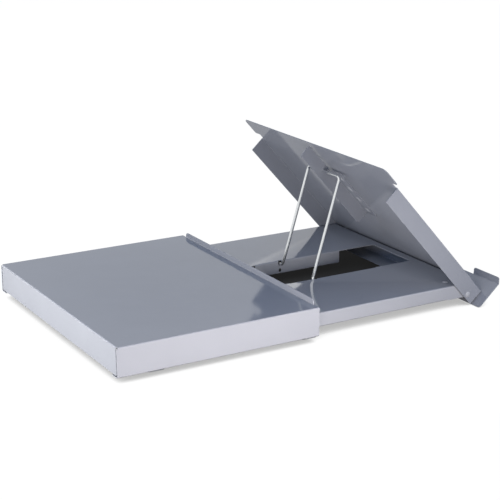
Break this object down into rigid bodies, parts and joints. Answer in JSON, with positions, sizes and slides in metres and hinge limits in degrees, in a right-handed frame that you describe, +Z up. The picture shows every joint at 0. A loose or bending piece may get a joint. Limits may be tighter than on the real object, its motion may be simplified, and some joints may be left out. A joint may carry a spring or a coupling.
{
  "type": "document holder with drawer",
  "caption": "Low steel desk platform with a pull-out tray, whose hinged document panel with a paper ledge stands on a folding wire prop.",
  "frame": {"origin": "middle of the footprint on the desk, under the feet, with the tray drawn out and the panel propped up", "axes": "+Z up; +Y from the paper ledge back to the rear wall of the platform; +X across the width, to the right of a reader who faces the panel"},
  "size_m": [0.43, 0.6676, 0.2461],
  "materials": {
    "platform_paint": "satin",
    "tray_paint": "satin",
    "panel_paint": "satin",
    "zinc_plate": "zinc plated",
    "bright_wire": "bright nickel plated",
    "rivet_steel": "bright zinc plated",
    "nylon": "moulded",
    "foot_rubber": "matt"
  },
  "bodies": {
    "base": {"housing_cover": "platform_paint", "runner_left": "zinc_plate", "runner_right": "zinc_plate", "base_strap_front": "platform_paint", "base_strap_rear": "platform_paint", "strap_rivets": "rivet_steel", "foot_front_left": "foot_rubber", "foot_front_right": "foot_rubber", "foot_rear_left": "foot_rubber", "foot_rear_right": "foot_rubber", "glide_left": "nylon", "glide_right": "nylon"},
    "drawer": {"drawer_tray": "tray_paint", "slider_left": "nylon", "slider_right": "nylon", "slider_screws": "rivet_steel", "pivot_bracket_left": "tray_paint", "pivot_bracket_right": "tray_paint", "tray_rivets": "rivet_steel", "pivot_pin_left": "rivet_steel", "pivot_pin_right": "rivet_steel", "pivot_washer_left": "nylon", "pivot_washer_right": "nylon"},
    "panel": {"document_panel": "panel_paint", "paper_ledge": "panel_paint", "ledge_rivets": "rivet_steel", "prop_bracket": "panel_paint"},
    "prop": {"prop_wire": "bright_wire"}
  },
  "joints": [
    {"name": "drawer_slide", "type": "slide", "parent": "base", "child": "drawer", "axis": [0, 1, 0], "range_m": [0, 0.087]},
    {"name": "panel_tilt", "type": "hinge", "parent": "drawer", "child": "panel", "pos_m": [0, -0.28662, 0.0192], "axis": [1, 0, 0], "range_deg": [-48, 3]},
    {"name": "prop_swing", "type": "hinge", "parent": "panel", "child": "prop", "pos_m": [0, -0.14008, 0.1954], "axis": [1, 0, 0], "range_deg": [-58.7, 3.71]}
  ],
  "couplings": [
    {"joint": "prop_swing", "follows": "panel_tilt", "ratio": 1.2218}
  ]
}
